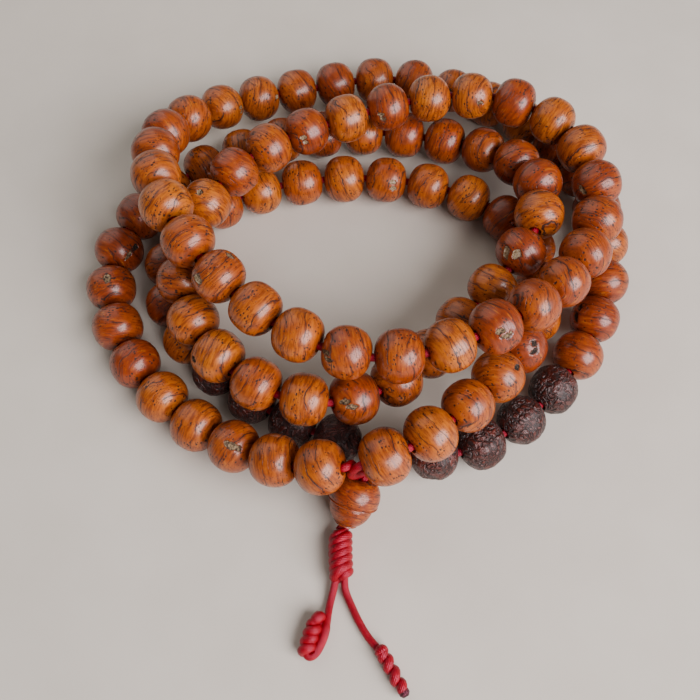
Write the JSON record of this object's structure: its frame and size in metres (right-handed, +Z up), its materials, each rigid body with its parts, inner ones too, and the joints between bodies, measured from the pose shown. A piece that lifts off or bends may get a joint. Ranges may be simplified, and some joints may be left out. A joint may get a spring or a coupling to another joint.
{
  "type": "mala prayer beads",
  "caption": "Mala: a closed strand of drilled seed beads lying in three crossing turns, with a turned guru bead and a knotted cord tassel.",
  "frame": {"origin": "middle of the heap's footprint, on the surface that the mala lies on", "axes": "+Z up from the table, -Y towards the guru bead and tassel, +X to the right seen from the tassel side"},
  "size_m": [0.1101, 0.1362, 0.0297],
  "materials": {
    "polished_seed": "polished",
    "raw_seed": "satin",
    "red_cord": "satin"
  },
  "bodies": {
    "strand": {"stringing_cord": "red_cord", "outer_left_beads": "polished_seed", "outer_back_and_right_beads": "polished_seed", "inner_left_beads": "polished_seed", "inner_right_beads": "polished_seed"},
    "bead_19": {"bead_19": "polished_seed"},
    "bead_20": {"bead_20": "polished_seed"},
    "bead_21": {"bead_21": "polished_seed"},
    "bead_22": {"bead_22": "polished_seed"},
    "bead_23": {"bead_23": "polished_seed"},
    "bead_24": {"bead_24": "polished_seed"},
    "bead_25": {"bead_25": "polished_seed"},
    "bead_26": {"bead_26": "polished_seed"},
    "bead_27": {"bead_27": "polished_seed"},
    "bead_28": {"bead_28": "polished_seed"},
    "bead_29": {"bead_29": "polished_seed"},
    "bead_30": {"bead_30": "polished_seed"},
    "bead_31": {"bead_31": "polished_seed"},
    "bead_32": {"bead_32": "polished_seed"},
    "bead_33": {"bead_33": "polished_seed"},
    "bead_34": {"bead_34": "polished_seed"},
    "bead_35": {"bead_35": "polished_seed"},
    "bead_36": {"bead_36": "polished_seed"},
    "bead_37": {"bead_37": "polished_seed"},
    "bead_38": {"bead_38": "polished_seed"},
    "bead_39": {"bead_39": "polished_seed"},
    "bead_40": {"bead_40": "polished_seed"},
    "bead_41": {"bead_41": "polished_seed"},
    "bead_42": {"bead_42": "polished_seed"},
    "bead_43": {"bead_43": "polished_seed"},
    "bead_44": {"bead_44": "polished_seed"},
    "bead_45": {"bead_45": "polished_seed"},
    "bead_46": {"bead_46": "polished_seed"},
    "bead_47": {"bead_47": "polished_seed"},
    "bead_48": {"bead_48": "polished_seed"},
    "bead_49": {"bead_49": "polished_seed"},
    "bead_50": {"bead_50": "polished_seed"},
    "bead_51": {"bead_51": "polished_seed"},
    "bead_52": {"bead_52": "polished_seed"},
    "bead_53": {"bead_53": "polished_seed"},
    "bead_54": {"bead_54": "polished_seed"},
    "bead_55": {"bead_55": "polished_seed"},
    "bead_56": {"bead_56": "polished_seed"},
    "bead_57": {"bead_57": "polished_seed"},
    "raw_seed_80": {"raw_seed_80": "raw_seed"},
    "raw_seed_81": {"raw_seed_81": "raw_seed"},
    "raw_seed_82": {"raw_seed_82": "raw_seed"},
    "raw_seed_83": {"raw_seed_83": "raw_seed"},
    "bead_84": {"bead_84": "polished_seed"},
    "raw_seed_85": {"raw_seed_85": "raw_seed"},
    "raw_seed_86": {"raw_seed_86": "raw_seed"},
    "raw_seed_87": {"raw_seed_87": "raw_seed"},
    "raw_seed_88": {"raw_seed_88": "raw_seed"},
    "guru_bead": {"guru_bead": "polished_seed"},
    "tassel": {"snake_knot": "red_cord", "left_tail": "red_cord", "right_tail": "red_cord", "left_end_knot": "red_cord", "right_end_knot": "red_cord"}
  },
  "joints": [
    {"name": "bead_19_spin", "type": "hinge", "parent": "strand", "child": "bead_19", "pos_m": [0.02616, 0.03187, 0.00737], "axis": [0.802, -0.5289, 0.2776], "continuous": true},
    {"name": "bead_20_spin", "type": "hinge", "parent": "strand", "child": "bead_20", "pos_m": [0.03225, 0.02607, 0.01053], "axis": [0.5246, -0.7541, 0.3951], "continuous": true},
    {"name": "bead_21_spin", "type": "hinge", "parent": "strand", "child": "bead_21", "pos_m": [0.03532, 0.01834, 0.01388], "axis": [0.1321, -0.9435, 0.3039], "continuous": true},
    {"name": "bead_22_spin", "type": "hinge", "parent": "strand", "child": "bead_22", "pos_m": [0.03452, 0.00957, 0.01543], "axis": [-0.2955, -0.955, 0.0248], "continuous": true},
    {"name": "bead_23_spin", "type": "hinge", "parent": "strand", "child": "bead_23", "pos_m": [0.03046, 0.00164, 0.01435], "axis": [-0.5597, -0.7957, -0.2314], "continuous": true},
    {"name": "bead_24_spin", "type": "hinge", "parent": "strand", "child": "bead_24", "pos_m": [0.02492, -0.0051, 0.01201], "axis": [-0.6493, -0.7172, -0.2529], "continuous": true},
    {"name": "bead_25_spin", "type": "hinge", "parent": "strand", "child": "bead_25", "pos_m": [0.01888, -0.01159, 0.01026], "axis": [-0.6768, -0.7287, -0.1048], "continuous": true},
    {"name": "bead_26_spin", "type": "hinge", "parent": "strand", "child": "bead_26", "pos_m": [0.01276, -0.01822, 0.0103], "axis": [-0.6851, -0.7215, 0.0999], "continuous": true},
    {"name": "bead_27_spin", "type": "hinge", "parent": "strand", "child": "bead_27", "pos_m": [0.00627, -0.02433, 0.01177], "axis": [-0.7674, -0.6066, 0.2076], "continuous": true},
    {"name": "bead_28_spin", "type": "hinge", "parent": "strand", "child": "bead_28", "pos_m": [-0.00139, -0.02865, 0.01366], "axis": [-0.9285, -0.3158, 0.1953], "continuous": true},
    {"name": "bead_29_spin", "type": "hinge", "parent": "strand", "child": "bead_29", "pos_m": [-0.01019, -0.02962, 0.01504], "axis": [-0.9887, 0.1165, 0.0942], "continuous": true},
    {"name": "bead_30_spin", "type": "hinge", "parent": "strand", "child": "bead_30", "pos_m": [-0.01872, -0.02682, 0.01535], "axis": [-0.8776, 0.4792, -0.0115], "continuous": true},
    {"name": "bead_31_spin", "type": "hinge", "parent": "strand", "child": "bead_31", "pos_m": [-0.02583, -0.02131, 0.01507], "axis": [-0.6861, 0.7264, -0.0404], "continuous": true},
    {"name": "bead_32_spin", "type": "hinge", "parent": "strand", "child": "bead_32", "pos_m": [-0.03102, -0.01395, 0.01473], "axis": [-0.4547, 0.8901, -0.0302], "continuous": true},
    {"name": "bead_33_spin", "type": "hinge", "parent": "strand", "child": "bead_33", "pos_m": [-0.03385, -0.00541, 0.01457], "axis": [-0.1574, 0.9875, -0.0028], "continuous": true},
    {"name": "bead_34_spin", "type": "hinge", "parent": "strand", "child": "bead_34", "pos_m": [-0.03363, 0.00358, 0.01471], "axis": [0.1981, 0.9798, 0.0288], "continuous": true},
    {"name": "bead_35_spin", "type": "hinge", "parent": "strand", "child": "bead_35", "pos_m": [-0.0306, 0.01206, 0.015], "axis": [0.4568, 0.889, 0.0321], "continuous": true},
    {"name": "bead_36_spin", "type": "hinge", "parent": "strand", "child": "bead_36", "pos_m": [-0.02556, 0.01955, 0.01519], "axis": [0.6472, 0.7623, 0.0048], "continuous": true},
    {"name": "bead_37_spin", "type": "hinge", "parent": "strand", "child": "bead_37", "pos_m": [-0.01906, 0.02581, 0.01499], "axis": [0.785, 0.617, -0.0556], "continuous": true},
    {"name": "bead_38_spin", "type": "hinge", "parent": "strand", "child": "bead_38", "pos_m": [-0.01149, 0.03068, 0.01438], "axis": [0.8839, 0.464, -0.0584], "continuous": true},
    {"name": "bead_39_spin", "type": "hinge", "parent": "strand", "child": "bead_39", "pos_m": [-0.00323, 0.03432, 0.01424], "axis": [0.937, 0.3479, 0.0297], "continuous": true},
    {"name": "bead_40_spin", "type": "hinge", "parent": "strand", "child": "bead_40", "pos_m": [0.00537, 0.03708, 0.01468], "axis": [0.9619, 0.268, 0.0536], "continuous": true},
    {"name": "bead_41_spin", "type": "hinge", "parent": "strand", "child": "bead_41", "pos_m": [0.01415, 0.03919, 0.01499], "axis": [0.9825, 0.1857, 0.0141], "continuous": true},
    {"name": "bead_42_spin", "type": "hinge", "parent": "strand", "child": "bead_42", "pos_m": [0.02314, 0.03997, 0.01504], "axis": [0.9989, -0.0467, 0.0049], "continuous": true},
    {"name": "bead_43_spin", "type": "hinge", "parent": "strand", "child": "bead_43", "pos_m": [0.03191, 0.03799, 0.01517], "axis": [0.9218, -0.3869, 0.0222], "continuous": true},
    {"name": "bead_44_spin", "type": "hinge", "parent": "strand", "child": "bead_44", "pos_m": [0.03945, 0.0331, 0.01537], "axis": [0.7264, -0.687, 0.0159], "continuous": true},
    {"name": "bead_45_spin", "type": "hinge", "parent": "strand", "child": "bead_45", "pos_m": [0.04459, 0.02574, 0.01541], "axis": [0.4022, -0.9156, -0.0024], "continuous": true},
    {"name": "bead_46_spin", "type": "hinge", "parent": "strand", "child": "bead_46", "pos_m": [0.04663, 0.01698, 0.01546], "axis": [0.0515, -0.9985, 0.0206], "continuous": true},
    {"name": "bead_47_spin", "type": "hinge", "parent": "strand", "child": "bead_47", "pos_m": [0.04558, 0.00805, 0.01588], "axis": [-0.2705, -0.9596, 0.0769], "continuous": true},
    {"name": "bead_48_spin", "type": "hinge", "parent": "strand", "child": "bead_48", "pos_m": [0.04209, -0.00021, 0.01686], "axis": [-0.4897, -0.8603, 0.1413], "continuous": true},
    {"name": "bead_49_spin", "type": "hinge", "parent": "strand", "child": "bead_49", "pos_m": [0.03692, -0.00743, 0.01847], "axis": [-0.6457, -0.7343, 0.2097], "continuous": true},
    {"name": "bead_50_spin", "type": "hinge", "parent": "strand", "child": "bead_50", "pos_m": [0.03052, -0.01349, 0.0204], "axis": [-0.7661, -0.6106, 0.2005], "continuous": true},
    {"name": "bead_51_spin", "type": "hinge", "parent": "strand", "child": "bead_51", "pos_m": [0.02315, -0.01853, 0.02177], "axis": [-0.8592, -0.5037, 0.0901], "continuous": true},
    {"name": "bead_52_spin", "type": "hinge", "parent": "strand", "child": "bead_52", "pos_m": [0.01501, -0.02242, 0.02214], "axis": [-0.9382, -0.3461, 0.0076], "continuous": true},
    {"name": "bead_53_spin", "type": "hinge", "parent": "strand", "child": "bead_53", "pos_m": [0.00624, -0.02451, 0.02224], "axis": [-0.9944, -0.1016, 0.0289], "continuous": true},
    {"name": "bead_54_spin", "type": "hinge", "parent": "strand", "child": "bead_54", "pos_m": [-0.00275, -0.02407, 0.02257], "axis": [-0.9784, 0.2039, 0.0341], "continuous": true},
    {"name": "bead_55_spin", "type": "hinge", "parent": "strand", "child": "bead_55", "pos_m": [-0.01118, -0.0209, 0.02271], "axis": [-0.8783, 0.4782, 0.0033], "continuous": true},
    {"name": "bead_56_spin", "type": "hinge", "parent": "strand", "child": "bead_56", "pos_m": [-0.01867, -0.01587, 0.02288], "axis": [-0.7831, 0.6202, 0.0464], "continuous": true},
    {"name": "bead_57_spin", "type": "hinge", "parent": "strand", "child": "bead_57", "pos_m": [-0.02541, -0.0099, 0.02369], "axis": [-0.7053, 0.6985, 0.1212], "continuous": true},
    {"name": "raw_seed_80_spin", "type": "hinge", "parent": "strand", "child": "raw_seed_80", "pos_m": [0.03628, -0.02309, 0.005], "axis": [-0.664, -0.7477, 0], "continuous": true},
    {"name": "raw_seed_81_spin", "type": "hinge", "parent": "strand", "child": "raw_seed_81", "pos_m": [0.02971, -0.02929, 0.005], "axis": [-0.7911, -0.6117, 0], "continuous": true},
    {"name": "raw_seed_82_spin", "type": "hinge", "parent": "strand", "child": "raw_seed_82", "pos_m": [0.02199, -0.03394, 0.005], "axis": [-0.9164, -0.4003, 0], "continuous": true},
    {"name": "raw_seed_83_spin", "type": "hinge", "parent": "strand", "child": "raw_seed_83", "pos_m": [0.01329, -0.03627, 0.005], "axis": [-0.9952, -0.0976, 0], "continuous": true},
    {"name": "bead_84_spin", "type": "hinge", "parent": "strand", "child": "bead_84", "pos_m": [0.00429, -0.03581, 0.005], "axis": [-0.9847, 0.1741, 0], "continuous": true},
    {"name": "raw_seed_85_spin", "type": "hinge", "parent": "strand", "child": "raw_seed_85", "pos_m": [-0.00442, -0.03344, 0.005], "axis": [-0.9429, 0.3331, 0], "continuous": true},
    {"name": "raw_seed_86_spin", "type": "hinge", "parent": "strand", "child": "raw_seed_86", "pos_m": [-0.01276, -0.02995, 0.005], "axis": [-0.8961, 0.4439, 0], "continuous": true},
    {"name": "raw_seed_87_spin", "type": "hinge", "parent": "strand", "child": "raw_seed_87", "pos_m": [-0.02053, -0.02536, 0.005], "axis": [-0.8217, 0.5699, 0], "continuous": true},
    {"name": "raw_seed_88_spin", "type": "hinge", "parent": "strand", "child": "raw_seed_88", "pos_m": [-0.02758, -0.01971, 0.005], "axis": [-0.7356, 0.6774, 0], "continuous": true},
    {"name": "guru_bead_spin", "type": "hinge", "parent": "strand", "child": "guru_bead", "pos_m": [-0.0014, -0.04447, 0.0052], "axis": [-0.271, -0.7428, -0.6123], "continuous": true},
    {"name": "tassel_swing", "type": "hinge", "parent": "strand", "child": "tassel", "pos_m": [-0.0029, -0.04859, 0.0018], "axis": [0, 0, 1], "range_deg": [-45, 25]}
  ]
}
